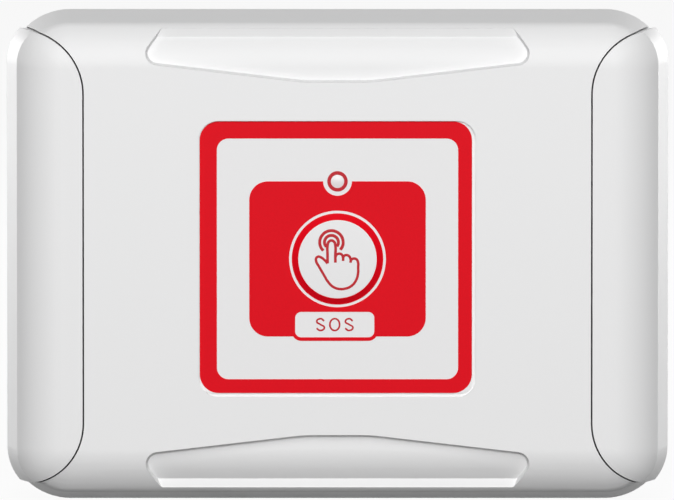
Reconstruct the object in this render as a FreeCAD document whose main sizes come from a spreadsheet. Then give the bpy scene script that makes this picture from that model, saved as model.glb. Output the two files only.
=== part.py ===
# Wireless call button: a wall housing with two clip-on end caps and one embossed film key.
# X runs to the right as the front is seen, Z up, and the front faces -Y.
# The origin is the centre of the flat back, which stands on the wall at Y = 0.

import FreeCAD, Part
import math
import os
import re
import Sketcher
from FreeCAD import Placement, Rotation, Vector

# Driving sizes in millimetres, angles in degrees

SIZES = {
    # housing
    "width": 120.0,
    "height": 89.0,
    "depth": 30.0,
    "corner_round": 11.5,          # seen from the front
    "front_round": 10.3,           # from the front face towards the sides
    "front_spread": 0.3,           # how far outside the housing that round would end
    "wall_lean": 11.3,             # of the front cover's sides, from the parting line inwards
    "rear_lean": 4.5,              # of the rear cover's sides
    "rear_depth": 16.0,            # wall to parting line
    "parting_gap": 0.2,
    "cover_wall": 3.0,
    "rear_wall": 2.5,
    "back_edge_round": 0.8,
    # end caps and their channels
    "cap_width": 14.2,
    "cap_height": 82.8,
    "cap_corner_round": 9.6,
    "seam_round": 11.6,
    "seam_gap": 0.3,
    "cap_seat_gap": 0.1,           # between a cap's rim and its channel's floor
    "cap_wall": 2.0,
    "channel_floor": 2.5,
    "peg_radius": 1.6,
    "peg_hole_clearance": 0.1,
    "peg_spacing": 14.0,
    "peg_reach": 5.0,              # past the channel floor's front
    # grip recesses above and below the label
    "recess_depth": 1.3,
    "recess_draft": 18.0,
    "recess_edge_half": 32.4,      # along the outer edge
    "recess_end_half": 36.2,       # to the pointed ends
    "recess_flat_half": 6.0,       # level stretch in the middle
    "recess_top_inset": 2.9,
    "recess_lip": 1.55,
    "recess_lip_tilt": 10.0,
    "recess_end_inset": 9.1,
    "recess_mid_inset": 12.6,
    "recess_end_round": 2.4,
    "recess_edge_round": 1.6,
    "recess_reach": 3.6,
    "recess_flat_round": 30.0,
    # label
    "pocket_size": 50.0,
    "pocket_round": 3.4,
    "pocket_depth": 0.7,
    "film_gap": 0.4,               # all round, between film and pocket
    "film_round": 3.4,
    "film_shift": 0.3,             # the film lies a little to the left and up
    "film_thickness": 0.25,
    "emboss_height": 0.8,
    "emboss_radius": 7.1,
    "emboss_foot_radius": 8.15,
    "ink_thickness": 0.06,
    "border_width": 2.8,
    "border_round": 2.1,
    "panel_width": 31.9,
    "panel_height": 28.1,
    "panel_round": 3.35,
    "ring_width": 0.6,             # white ring round the embossed foot
    "window_radius": 1.2,
    "window_ring": 0.65,
    "window_halo": 0.75,
    "legend_width": 14.3,
    "legend_height": 4.6,
    "legend_drop": 11.9,           # key centre to legend centre
    "legend_shift": -0.5,
    "legend_outline": 0.65,
    "legend_round": 1.1,
    # key and switch
    "key_hole_radius": 8.2,
    "key_radius": 6.7,
    "key_film_gap": 0.05,
    "key_flange_radius": 8.9,
    "key_flange_thickness": 0.9,
    "key_wall": 1.2,
    "key_post": 3.0,
    "key_travel": 0.5,
    "stem_radius": 1.7,
    "stem_clearance": 0.06,
    "stem_socket": 0.9,
    "switch_size": 6.0,
    "switch_height": 3.4,
    "switch_stem_entry": 0.6,
    "stem_room": 0.25,             # left behind the stem when the key is pressed home
    "switch_round": 0.4,
    "leg_width": 0.7,
    "leg_reach": 1.5,
    "leg_thickness": 0.25,
    "leg_rise": 1.6,
    "leg_spacing": 4.5,
    # lamp
    "lamp_radius": 1.5,
    "lamp_flange": 1.9,
    "lamp_flange_height": 1.0,
    "lamp_length": 5.3,
    "lamp_tip_radius": 0.1,        # flat left at the tip
    "lamp_stand": 2.0,
    "lamp_clearance": 0.25,
    "lead_radius": 0.25,
    "lead_spacing": 2.54,
    "lead_clearance": 0.1,
    "lead_tail": 1.0,
    # circuit board
    "board_side_gap": 4.0,         # from the cavity's left and right walls
    "board_end_gap": 10.5,         # from its upper and lower walls
    "board_thickness": 1.6,
    "board_round": 2.0,
    "board_stand": 5.5,            # front wall to board
    "board_boss_radius": 3.0,
    "board_boss_inset": 4.2,
    "board_screw_radius": 1.2,
    "board_screw_head": 2.5,
    "board_screw_head_height": 1.6,
    "board_screw_length": 6.0,
    "screw_fit": 0.05,             # where a screw grips
    "screw_play": 0.2,             # where a screw passes
    # batteries
    "cell_radius": 5.2,
    "cell_length": 44.5,
    "cell_nipple": 0.8,
    "cell_nipple_radius": 1.9,
    "cell_gap": 1.0,
    "tray_wall": 1.2,
    "tray_lip": 0.1,               # how far the tray's walls rise past the cells
    "tray_clearance": 0.3,
    "tray_rib": 0.6,
    "tray_rib_drop": 1.3,          # cell centre to the rib's edge
    "tray_drop": 14.5,             # key centre to tray centre
    "contact_thickness": 0.4,
    "contact_size": 7.0,
    "spring_radius": 2.6,
    "spring_wire": 0.6,
    "spring_length": 6.1,
    "spring_turns": 3.0,
    # radio and small parts
    "radio_width": 16.0,
    "radio_height": 12.0,
    "radio_board": 0.8,
    "radio_can": 1.8,
    "radio_side": 17.0,            # from the board's left edge
    "radio_drop": 17.0,            # from its upper edge
    "coil_radius": 1.9,
    "coil_wire": 0.6,
    "coil_length": 15.0,
    "coil_turns": 6.0,
    "coil_gap": 0.05,              # between coil and board
    "coil_side": 27.0,             # from the board's right edge
    "coil_drop": 5.0,              # from its upper edge
    "chip_size": 7.0,
    "chip_height": 1.0,
    "chip_side": 21.0,             # from the board's right edge
    "chip_rise": 21.0,             # from its lower edge
    "crystal_length": 5.0,
    "crystal_width": 3.2,
    "crystal_height": 0.9,
    "crystal_pitch": 10.0,         # above the chip
    "bit_length": 2.0,
    "bit_width": 1.25,
    "bit_height": 0.6,
    "bit_pitch": 3.5,
    "bit_side": 13.0,              # from the board's right edge
    "bit_rise": 17.0,              # from its lower edge
    # seal
    "seal_width": 1.6,
    "seal_depth": 1.3,
    "seal_clearance": 0.05,
    "seal_inset": 1.2,             # from the cover's outer face
    "seal_round": 2.5,
    "seal_wall": 4.0,
    # fastening
    "channel_screw_offset": 6.7,   # from the seam
    "housing_screw_inset": 13.5,   # from the upper and lower sides
    "housing_screw_radius": 1.45,
    "housing_screw_head": 2.9,
    "housing_screw_head_height": 2.2,
    "housing_screw_length": 11.0,
    "housing_boss_radius": 3.6,
    "wall_hole_pitch": 12.0,       # from the housing screws
    "wall_hole_radius": 2.25,
    "wall_head_radius": 4.2,
    "wall_well_wall": 1.2,
    "wall_seat": 4.0,
}

# Places worked out from the sizes

PLACES = {
    "half_width": "width / 2",
    "half_height": "height / 2",
    "front": "-depth",
    "parting": "-(rear_depth + parting_gap)",
    "seam": "half_width - cap_width",
    "channel_front": "parting - channel_floor",
    "channel_screw_x": "seam + channel_screw_offset",
    "housing_screw_z": "half_height - housing_screw_inset",
    "wall_hole_z": "housing_screw_z - wall_hole_pitch",
    "inner_front": "front + cover_wall",
    "pocket_floor": "front + pocket_depth",
    "film_front": "pocket_floor - film_thickness",
    "key_top": "film_front - emboss_height",
    "film_half": "pocket_size / 2 - film_gap",
    "board_width": "2 * (seam - cover_wall - board_side_gap)",
    "board_height": "2 * (half_height - cover_wall - board_end_gap)",
    "board_front": "inner_front + board_stand",
    "board_back": "board_front + board_thickness",
    "window_z": "panel_height / 2",
    "boss_x": "board_width / 2 - board_boss_inset",
    "boss_z": "board_height / 2 - board_boss_inset",
    "flange_front": "inner_front + key_film_gap",
    "flange_back": "flange_front + key_flange_thickness",
    "switch_front": "board_front - switch_height",
    "lamp_base": "board_front - lamp_stand",
    "seal_x": "seam - seal_inset",
    "seal_z": "half_height - seal_inset",
    "cell_pitch": "cell_radius * 2 + cell_gap",
    "cell_y": "board_back + tray_wall + tray_clearance + cell_radius",
    "tray_inner": "(cell_length + contact_thickness + spring_length + spring_wire) / 2",
    "tray_half": "tray_inner + tray_wall",
    "tray_height": "tray_wall + tray_clearance + 2 * cell_radius + tray_lip",
    "tray_half_z": "cell_pitch / 2 + cell_radius + tray_clearance + tray_wall",
    "radio_x": "radio_side - board_width / 2",
    "radio_z": "board_height / 2 - radio_drop",
    "coil_x": "board_width / 2 - coil_side",
    "coil_z": "board_height / 2 - coil_drop",
    "chip_x": "board_width / 2 - chip_side",
    "chip_z": "chip_rise - board_height / 2",
    "crystal_z": "chip_z + crystal_pitch",
    "bit_x": "board_width / 2 - bit_side",
    "bit_z": "bit_rise - board_height / 2",
    "dome_slope": "(emboss_foot_radius - emboss_radius) / emboss_height",
    "dome_run": "dome_slope * film_thickness",
    "film_skew": "film_thickness * sqrt(1 + dome_slope ^ 2)",
    "ink_skew": "ink_thickness * sqrt(1 + dome_slope ^ 2)",
    "key_front": "key_top + film_thickness + key_film_gap",
    "arc_level": "front + front_round",
    "lip_foot": "front_round - front_spread - recess_top_inset - recess_lip",
    "lip_start": "half_height - recess_top_inset - recess_lip",
    "lip_level": "arc_level - sqrt((front_round - recess_depth) ^ 2 - lip_foot ^ 2)",
    "lip_rise": "recess_lip * tan(recess_lip_tilt)",
    "lip_depth": "lip_level - front - lip_rise",
    "recess_outer": "half_height - recess_top_inset + lip_depth * tan(recess_draft)",
    "outside": "depth",            # how far tools run past the housing
    "past": "cover_wall / 4",      # how far holes are cut past their ends
}

TOUCH = 0.001                      # two levels this near are one
COIL_RUNS = 12                     # straight runs to a turn
WIRE_SIDES = 6
BIT_COLUMNS = 2
BIT_LINES = 4

doc = FreeCAD.newDocument("call_button")
sheet = doc.addObject("Spreadsheet::Sheet", "Sizes")
for row, (name, value) in enumerate(SIZES.items(), start=1):
    sheet.set("A%d" % row, name)
    sheet.set("B%d" % row, repr(value))
    sheet.setAlias("B%d" % row, name)
doc.recompute()


def formula(text):
    # Write sizes and places out as the sheet's cells
    def swap(match):
        word = match.group(0)
        if word in PLACES:
            return "(" + formula(PLACES[word]) + ")"
        if word in SIZES:
            return "Sizes." + word
        return word
    return re.sub(r"[a-z][a-z_]+", swap, str(text))


def number(text):
    return float(sheet.evalExpression(formula(text)))


def bind(thing, path, text):
    thing.setExpression(path, formula(text))


# Solids from sketches

def corner_arc(before, corner, after, radius):
    # Where an arc of this radius leaves one straight side and joins the next
    back = (before - corner).normalize()
    on = (after - corner).normalize()
    half = back.getAngle(on) / 2
    reach = radius / math.tan(half)
    centre = corner + (back + on).normalize() * (radius / math.sin(half))
    return corner + back * reach, corner + on * reach, centre


def draw(body, label, role, points, level):
    # A closed outline on one of the body's planes, moved along the plane's normal to a level.
    # Each point is across, up and, where the corner is round, its radius.
    sketch = body.newObject("Sketcher::SketchObject", label)
    plane = [item for item in body.Origin.OriginFeatures if item.Role == role][0]
    sketch.AttachmentSupport = (plane, [""])
    sketch.MapMode = "FlatFace"
    bind(sketch, "AttachmentOffset.Base.z", level)
    corners = [Vector(number(point[0]), number(point[1]), 0) for point in points]
    count = len(points)
    rounded = {}
    for i, point in enumerate(points):
        if len(point) == 3:
            ends = corner_arc(corners[i - 1], corners[i], corners[(i + 1) % count], number(point[2]))
            rounded[i] = ends
    for i in range(count):
        following = (i + 1) % count
        start = rounded[i][1] if i in rounded else corners[i]
        end = rounded[following][0] if following in rounded else corners[following]
        sketch.addGeometry(Part.LineSegment(start, end), False)
    for i, point in enumerate(points):
        side_before = (i - 1) % count
        if i in rounded:
            leave, arrive, centre = rounded[i]
            left_turn = (corners[i] - corners[i - 1]).cross(corners[(i + 1) % count] - corners[i]).z > 0
            first, last = (leave, arrive) if left_turn else (arrive, leave)
            angles = [math.atan2((end - centre).y, (end - centre).x) for end in (first, last)]
            circle = Part.Circle(centre, Vector(0, 0, 1), number(point[2]))
            arc = sketch.addGeometry(Part.ArcOfCircle(circle, *angles), False)
            marker = sketch.addGeometry(Part.Point(corners[i]), True)
            leave_end, arrive_end = (1, 2) if left_turn else (2, 1)
            sketch.addConstraint(Sketcher.Constraint("Tangent", side_before, 2, arc, leave_end))
            sketch.addConstraint(Sketcher.Constraint("Tangent", i, 1, arc, arrive_end))
            sketch.addConstraint(Sketcher.Constraint("PointOnObject", marker, 1, side_before))
            sketch.addConstraint(Sketcher.Constraint("PointOnObject", marker, 1, i))
            size = Sketcher.Constraint("Radius", arc, number(point[2]))
            bind(sketch, "Constraints[%d]" % sketch.addConstraint(size), point[2])
        else:
            marker = i
            sketch.addConstraint(Sketcher.Constraint("Coincident", side_before, 2, i, 1))
        for kind, text in (("DistanceX", point[0]), ("DistanceY", point[1])):
            place = Sketcher.Constraint(kind, -1, 1, marker, 1, number(text))
            bind(sketch, "Constraints[%d]" % sketch.addConstraint(place), text)
    return sketch


def prism(label, points, back, front, draft=None, lean=None):
    # An outline seen from the front, run from its back level to its front level.
    # With a draft it is drawn at the front and narrows as it goes back.
    # With a lean it is drawn at the back and narrows as it comes forward.
    body = doc.addObject("PartDesign::Body", label)
    start = back if draft is None else front
    sketch = draw(body, label + "_outline", "XZ_Plane", points, "-(%s)" % start)
    pad = body.newObject("PartDesign::Pad", label + "_pad")
    pad.Profile = sketch
    bind(pad, "Length", "(%s) - (%s)" % (back, front))
    pad.Reversed = draft is not None
    if draft or lean:
        bind(pad, "TaperAngle", "-(%s)" % (draft or lean))
    doc.recompute()
    return body


def turned(label, points):
    # A section of radius and level, turned round the key's centre line
    body = doc.addObject("PartDesign::Body", label)
    sketch = draw(body, label + "_section", "XY_Plane", points, "0")
    turning = body.newObject("PartDesign::Revolution", label + "_turning")
    turning.Profile = sketch
    turning.ReferenceAxis = (sketch, ["V_Axis"])
    doc.recompute()
    return body


def round_level(body, level, radius):
    # Rounds the edges that lie at one level from the wall
    base = body.Tip
    edges = []
    for i, edge in enumerate(base.Shape.Edges, start=1):
        extent = edge.BoundBox
        if extent.YLength < TOUCH and abs(extent.YMin - number(level)) < TOUCH:
            edges.append("Edge%d" % i)
    rounding = body.newObject("PartDesign::Fillet", base.Name + "_rounding")
    rounding.Base = (base, edges)
    bind(rounding, "Radius", radius)
    doc.recompute()
    return body


def rectangle(half_x, half_z, *corner):
    return [("-(%s)" % half_x, "-(%s)" % half_z, *corner), (half_x, "-(%s)" % half_z, *corner),
            (half_x, half_z, *corner), ("-(%s)" % half_x, half_z, *corner)]


def plate(label, centre, half_x, half_z, back, front, corner):
    # A rounded plate round a centre of its own
    across, up = centre
    points = [("(%s) + %s" % (across, x), "(%s) + %s" % (up, z), *rest)
              for x, z, *rest in rectangle(half_x, half_z, corner)]
    return prism(label, points, back, front)


def outline(inset, corner="corner_round"):
    # The housing's widest outline, drawn in all round by an inset
    return rectangle("half_width - (%s)" % inset, "half_height - (%s)" % inset,
                     "%s - (%s)" % (corner, inset))


def leaning_block(label, inset, back, front, corner="corner_round"):
    # The front cover's sides, which lean in from the parting line
    growth = "((%s) - parting) * tan(wall_lean)" % back
    return prism(label, outline("(%s) - %s" % (inset, growth), corner), back, front, lean="wall_lean")


def rounded_block(label, inset, back, front, corner="corner_round"):
    # The rounded front, without the lean of the sides
    block = prism(label, outline("(%s) - front_spread" % inset, corner), back, front)
    return round_level(block, front, "front_round - (%s)" % inset)


def housing_form(label, inset, back, front, corner="corner_round"):
    # The housing's outer form: the rounded front meets the leaning sides in an edge
    rounded = rounded_block(label + "_round", inset, back, front, corner)
    leaning = leaning_block(label + "_sides", inset, back, front, corner)
    return overlap(label, rounded, leaning)


# Plain solids and booleans

def box(label, low, high):
    solid = doc.addObject("Part::Box", label)
    for side, start, end in zip(("Length", "Width", "Height"), low, high):
        bind(solid, side, "(%s) - (%s)" % (end, start))
    for axis, start in zip("xyz", low):
        bind(solid, "Placement.Base." + axis, start)
    return solid


def round_solid(label, kind, turn, place, sizes):
    # A cylinder or cone whose axis is turned out of +Z
    solid = doc.addObject(kind, label)
    solid.Placement = Placement(Vector(0, 0, 0), turn)
    for side, text in sizes.items():
        bind(solid, side, text)
    for axis, text in zip("xyz", place):
        bind(solid, "Placement.Base." + axis, text)
    return solid


def rod(label, across, up, start, end, radius):
    # Runs towards the wall, from its start level to its end level
    sizes = {"Radius": radius, "Height": "(%s) - (%s)" % (end, start)}
    return round_solid(label, "Part::Cylinder", Rotation(Vector(1, 0, 0), -90),
                       (across, start, up), sizes)


def bar(label, level, up, start, end, radius):
    # Runs to the right, from its start to its end
    sizes = {"Radius": radius, "Height": "(%s) - (%s)" % (end, start)}
    return round_solid(label, "Part::Cylinder", Rotation(Vector(0, 1, 0), 90),
                       (start, level, up), sizes)


def frustum(label, foot, top, foot_radius, top_radius):
    # Stands forward from its foot level, on the key's centre line
    sizes = {"Radius1": foot_radius, "Radius2": top_radius, "Height": "(%s) - (%s)" % (foot, top)}
    return round_solid(label, "Part::Cone", Rotation(Vector(1, 0, 0), 90), ("0", foot, "0"), sizes)


def join(label, solids):
    result = doc.addObject("Part::MultiFuse", label)
    result.Shapes = solids
    return result


def overlap(label, first, second):
    result = doc.addObject("Part::Common", label)
    result.Base = first
    result.Tool = second
    return result


def take(label, base, tools):
    result = doc.addObject("Part::Cut", label)
    result.Base = base
    result.Tool = tools[0] if len(tools) == 1 else join(label + "_cuts", tools)
    return result


def mirrored(label, source, normal):
    result = doc.addObject("Part::Mirroring", label)
    result.Source = source
    result.Normal = normal
    return result


def both_sides(source):
    return [source, mirrored(source.Name + "_left", source, Vector(1, 0, 0))]


def group(label, solids):
    result = doc.addObject("Part::Compound", label)
    result.Links = solids
    return result


def at_corners(label, across, up, make):
    # One solid at each of the four places that mirror each other
    signs = (("-", "-"), ("", "-"), ("-", ""), ("", ""))
    return [make("%s_%d" % (label, i), "%s(%s)" % (x, across), "%s(%s)" % (z, up))
            for i, (x, z) in enumerate(signs, start=1)]


# Housing

def channel_block(label, inset, back, front):
    # The D of the right end cap, seen from the front, drawn in by an inset
    inner = "seam + (%s)" % inset
    edge = "cap_height / 2 - (%s)" % inset
    far = "half_width + outside"
    corner = "seam_round - (%s)" % inset
    points = [(inner, "-(%s)" % edge, corner), (far, "-(%s)" % edge),
              (far, edge), (inner, edge, corner)]
    return prism(label, points, back, front)


def grip_recess():
    # The tool for the upper recess. Its floor follows the housing's rounded front, and along
    # its outer edge a narrow lip turns back towards the viewer.
    end = "half_height - recess_end_inset"
    middle = "half_height - recess_mid_inset"
    points = [
        ("-recess_edge_half", "recess_outer", "recess_edge_round"),
        ("-recess_end_half", end, "recess_end_round"),
        ("-recess_flat_half", middle, "recess_flat_round"),
        ("recess_flat_half", middle, "recess_flat_round"),
        ("recess_end_half", end, "recess_end_round"),
        ("recess_edge_half", "recess_outer", "recess_edge_round"),
    ]
    plan = prism("recess_plan", points, "front + recess_reach", "front", draft="recess_draft")
    floor = rounded_block("recess_floor", "recess_depth", "0", "front + recess_depth")
    lip = box("recess_lip_block", ("-half_width", "lip_level", "lip_start"),
              ("half_width", "lip_level + front_round", "half_height + front_round"))
    bind(lip, "Placement.Rotation.Angle", "recess_lip_tilt")
    lip.Placement.Rotation.Axis = Vector(1, 0, 0)
    return take("grip_recess", plan, [floor, lip])


def front_cover():
    outer = housing_form("cover_form", "0", "parting", "front")
    inner = housing_form("cover_inner_form", "cover_wall", "parting + past", "inner_front")
    cavity_half = "seam - cover_wall"
    span = box("cavity_span", ("-(%s)" % cavity_half, "inner_front", "-half_height"),
               (cavity_half, "0", "half_height"))
    cavity = overlap("cavity", inner, span)
    channels = both_sides(channel_block("channel", "0", "0", "front - outside"))
    recess = grip_recess()
    lower_recess = mirrored("lower_grip_recess", recess, Vector(0, 0, 1))
    pocket = prism("label_pocket", rectangle("pocket_size / 2", "pocket_size / 2", "pocket_round"),
                   "pocket_floor", "front - outside")
    shell = take("cover_shell", outer, [cavity, recess, lower_recess, pocket] + channels)
    floor_form = leaning_block("channel_floor_form", "cap_wall + seam_gap", "parting", "channel_front")
    floor_span = channel_block("channel_floor_span", "-cover_wall / 2", "parting", "channel_front")
    floor = overlap("channel_floor_right", floor_form, floor_span)
    bosses = at_corners("board_boss", "boss_x", "boss_z", lambda label, x, z: rod(
        label, x, z, "inner_front - past", "board_front", "board_boss_radius"))
    body = join("cover_body", [shell] + both_sides(floor) + bosses)
    holes = at_corners("boss_hole", "boss_x", "boss_z", lambda label, x, z: rod(
        label, x, z, "board_back - board_screw_length - screw_fit", "board_front + past",
        "board_screw_radius + screw_fit"))
    holes += at_corners("screw_hole", "channel_screw_x", "housing_screw_z", lambda label, x, z: rod(
        label, x, z, "channel_front - past", "parting + past", "housing_screw_radius + screw_play"))
    holes += at_corners("wall_screw_access", "channel_screw_x", "wall_hole_z", lambda label, x, z: rod(
        label, x, z, "channel_front - past", "parting + past", "wall_head_radius"))
    holes += at_corners("peg_hole", "channel_screw_x", "peg_spacing / 2", lambda label, x, z: rod(
        label, x, z, "channel_front - past", "parting + past", "peg_radius + peg_hole_clearance"))
    holes.append(rod("key_hole", "0", "0", "front", "inner_front + past", "key_hole_radius"))
    holes.append(rod("lamp_hole", "0", "window_z", "front", "inner_front + past",
                     "lamp_radius + lamp_clearance"))
    return take("front_cover", body, holes)


def rear_cover():
    outer = prism("rear_form", outline("0"), "0", "-rear_depth", draft="rear_lean")
    round_level(outer, "0", "back_edge_round")
    inner_x = "seam + cover_wall / 2 - seal_wall"
    inner_z = "half_height - seal_wall"
    room = box("rear_room", ("-(%s)" % inner_x, "-(rear_depth + past)", "-(%s)" % inner_z),
               (inner_x, "-rear_wall", inner_z))
    ends = prism("rear_end_form", outline("rear_wall"), "-rear_wall", "-(rear_depth + past)",
                 draft="rear_lean")
    end_span = box("rear_end_span", ("seam + cover_wall / 2", "-(rear_depth + past)", "-half_height"),
                   ("half_width", "0", "half_height"))
    end_room = overlap("rear_end_room", ends, end_span)
    shell = take("rear_shell", outer, [room] + both_sides(end_room))
    posts = at_corners("screw_post", "channel_screw_x", "housing_screw_z", lambda label, x, z: rod(
        label, x, z, "parting", "-rear_wall / 2", "housing_boss_radius"))
    posts += at_corners("wall_screw_well", "channel_screw_x", "wall_hole_z", lambda label, x, z: rod(
        label, x, z, "-rear_depth", "-rear_wall / 2", "wall_head_radius + wall_well_wall"))
    body = join("rear_body", [shell] + posts)
    holes = at_corners("post_hole", "channel_screw_x", "housing_screw_z", lambda label, x, z: rod(
        label, x, z, "parting - past", "channel_front + housing_screw_length + screw_play",
        "housing_screw_radius + screw_fit"))
    holes += at_corners("well_hole", "channel_screw_x", "wall_hole_z", lambda label, x, z: rod(
        label, x, z, "parting - past", "-wall_seat", "wall_head_radius"))
    holes += at_corners("wall_hole", "channel_screw_x", "wall_hole_z", lambda label, x, z: rod(
        label, x, z, "-wall_seat - past", "past", "wall_hole_radius"))
    groove = seal_ring("seal_groove", "0", "-rear_depth + seal_depth", "-rear_depth - past")
    return take("rear_cover", body, holes + [groove])


def seal_ring(label, slack, back, front):
    # A rounded frame that follows the middle of the cover's rim
    outer = prism(label + "_outer", rectangle("seal_x - (%s)" % slack, "seal_z - (%s)" % slack,
                                              "seal_round"), back, front)
    inner = prism(label + "_inner", rectangle("seal_x - seal_width + (%s)" % slack,
                                              "seal_z - seal_width + (%s)" % slack,
                                              "seal_round - seal_width + 2 * (%s)" % slack),
                  back + " + past", front + " - past")
    return take(label, outer, [inner])


def right_end_cap():
    form = housing_form("cap_form", "0", "parting", "front", "cap_corner_round")
    blank = overlap("cap_blank", form, channel_block("cap_span", "seam_gap", "0", "front - outside"))
    hollow_form = housing_form("cap_inner_form", "cap_wall", "parting + past", "front + cap_wall",
                               "cap_corner_round")
    hollow = overlap("cap_hollow", hollow_form,
                     channel_block("cap_inner_span", "seam_gap + cap_wall", "outside", "front"))
    floor_room = leaning_block("cap_floor_room", "cap_wall", "parting + past",
                               "channel_front - cap_seat_gap", "cap_corner_round")
    pegs = [rod("cap_peg_" + name, "channel_screw_x", side + "peg_spacing / 2",
                "front + cap_wall / 2", "channel_front + peg_reach", "peg_radius")
            for name, side in (("upper", ""), ("lower", "-"))]
    shell = take("cap_shell", blank, [hollow, floor_room])
    return join("right_end_cap", [shell] + pegs)


# Label and its print

FILM_CENTRE = ("-film_shift", "film_shift")


def label_film():
    sheet_form = plate("film_sheet", FILM_CENTRE, "film_half", "film_half", "pocket_floor",
                       "film_front", "film_round")
    dome = frustum("film_dome", "pocket_floor", "key_top", "emboss_foot_radius + dome_run",
                   "emboss_radius")
    hollow = frustum("film_hollow", "pocket_floor", "key_top + film_thickness",
                     "emboss_foot_radius + dome_run - film_skew",
                     "emboss_radius + dome_run - film_skew")
    return take("label_film", join("film_form", [sheet_form, dome]), [hollow])


def label_red_print():
    # Every red field of the label, as a thin layer on the film
    face = "film_front - ink_thickness"
    border_outer = plate("border_outer", FILM_CENTRE, "film_half", "film_half", "film_front", face,
                         "film_round")
    border_inner = plate("border_inner", ("0", "0"), "film_half - border_width",
                         "film_half - border_width", "film_front + past", face + " - past", "border_round")
    border = take("red_border", border_outer, [border_inner])
    panel_form = plate("panel_form", ("0", "0"), "panel_width / 2", "panel_height / 2",
                       "film_front", face, "panel_round")
    legend = ("legend_shift", "-legend_drop")
    outline = plate("legend_outline_form", legend, "legend_width / 2 + legend_outline",
                    "legend_height / 2 + legend_outline", "film_front", face,
                    "legend_round + legend_outline")
    legend_field = plate("legend_field", legend, "legend_width / 2", "legend_height / 2",
                         "film_front + past", face + " - past", "legend_round")
    ring_room = rod("white_ring", "0", "0", face + " - past", "film_front + past",
                    "emboss_foot_radius + ring_width")
    halo = rod("window_halo_field", "0", "window_z", face + " - past", "film_front + past",
               "window_radius + window_ring + window_halo")
    panel = take("red_panel", join("panel_and_outline", [panel_form, outline]),
                 [legend_field, ring_room, halo])
    ring_outer = rod("window_ring_outer", "0", "window_z", face, "film_front",
                     "window_radius + window_ring")
    ring_inner = rod("window_ring_inner", "0", "window_z", face + " - past", "film_front + past",
                     "window_radius")
    window = take("red_window_ring", ring_outer, [ring_inner])
    slope_outer = frustum("slope_outer", "film_front", "key_top", "emboss_foot_radius + ink_skew",
                          "emboss_radius + ink_skew")
    slope_inner = frustum("slope_inner", "film_front + ink_thickness", "key_top - ink_thickness",
                          "emboss_foot_radius + dome_slope * ink_thickness",
                          "emboss_radius - dome_slope * ink_thickness")
    slope = take("red_slope_ring", slope_outer, [slope_inner])
    return group("label_red_print", [border, panel, window, slope])


# Key, switch and lamp

def key_cap():
    points = [("0", "key_front"), ("key_radius", "key_front"), ("key_radius", "flange_front"),
              ("key_flange_radius", "flange_front"), ("key_flange_radius", "flange_back"),
              ("key_radius - key_wall", "flange_back"), ("key_radius - key_wall", "key_front + key_wall"),
              ("key_post", "key_front + key_wall"), ("key_post", "flange_back"),
              ("stem_radius + stem_clearance", "flange_back"),
              ("stem_radius + stem_clearance", "flange_back - stem_socket"),
              ("0", "flange_back - stem_socket")]
    return turned("key_cap", points)


def switch_stem():
    return rod("switch_stem", "0", "0", "flange_back - stem_socket",
               "switch_front + switch_stem_entry", "stem_radius")


def tact_switch():
    half = "switch_size / 2"
    case = plate("switch_case", ("0", "0"), half, half, "board_front", "switch_front", "switch_round")
    bore = rod("stem_bore", "0", "0", "switch_front - past",
               "switch_front + switch_stem_entry + key_travel + stem_room", "stem_radius + stem_clearance")
    return take("tact_switch", case, [bore])


def switch_legs():
    # Two bent legs on each side of the switch, soldered flat on the board
    legs = []
    for name, side in (("left", "-"), ("right", "")):
        for level, way in (("lower", "-"), ("upper", "")):
            label = "switch_leg_%s_%s" % (name, level)
            near = "%s(switch_size / 2)" % side
            turn = "%s(switch_size / 2 + leg_thickness)" % side
            far = "%s(switch_size / 2 + leg_reach)" % side
            low = "%s(leg_spacing / 2) - leg_width / 2" % way
            high = "%s(leg_spacing / 2) + leg_width / 2" % way
            inner, outer = (near, turn) if side == "" else (turn, near)
            reach = (near, far) if side == "" else (far, near)
            upright = box(label + "_upright", (inner, "board_front - leg_rise", low),
                          (outer, "board_front", high))
            foot = box(label + "_foot", (reach[0], "board_front - leg_thickness", low),
                       (reach[1], "board_front", high))
            legs.append(join(label, [upright, foot]))
    return group("switch_legs", legs)


def status_led():
    tip = "lamp_base - lamp_length"
    points = [("0", tip), ("lamp_radius", tip, "lamp_radius - lamp_tip_radius"),
              ("lamp_radius", "lamp_base - lamp_flange_height"),
              ("lamp_flange", "lamp_base - lamp_flange_height"), ("lamp_flange", "lamp_base"),
              ("0", "lamp_base")]
    lamp = turned("status_led", points)
    bind(lamp, "Placement.Base.z", "window_z")
    return lamp


def led_leads():
    leads = [rod("led_lead_" + name, side + "lead_spacing / 2", "window_z", "lamp_base",
                 "board_back + lead_tail", "lead_radius")
             for name, side in (("left", "-"), ("right", ""))]
    return group("led_leads", leads)


# Circuit board and what it carries

def circuit_board():
    card = prism("board_card", rectangle("board_width / 2", "board_height / 2", "board_round"),
                 "board_back", "board_front")
    holes = at_corners("board_hole", "boss_x", "boss_z", lambda label, x, z: rod(
        label, x, z, "board_front - past", "board_back + past", "board_screw_radius + screw_play"))
    holes += [rod("lead_hole_" + name, side + "lead_spacing / 2", "window_z", "board_front - past",
                  "board_back + past", "lead_radius + lead_clearance")
              for name, side in (("left", "-"), ("right", ""))]
    return take("circuit_board", card, holes)


def board_screw(label, x, z):
    head = rod(label + "_head", x, z, "board_back", "board_back + board_screw_head_height",
               "board_screw_head")
    shank = rod(label + "_shank", x, z, "board_back - board_screw_length",
                "board_back + board_screw_head_height / 2", "board_screw_radius")
    return join(label, [head, shank])


def housing_screw(label, x, z):
    head = rod(label + "_head", x, z, "channel_front - housing_screw_head_height", "channel_front",
               "housing_screw_head")
    shank = rod(label + "_shank", x, z, "channel_front - housing_screw_head_height / 2",
                "channel_front + housing_screw_length", "housing_screw_radius")
    return join(label, [head, shank])


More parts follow.
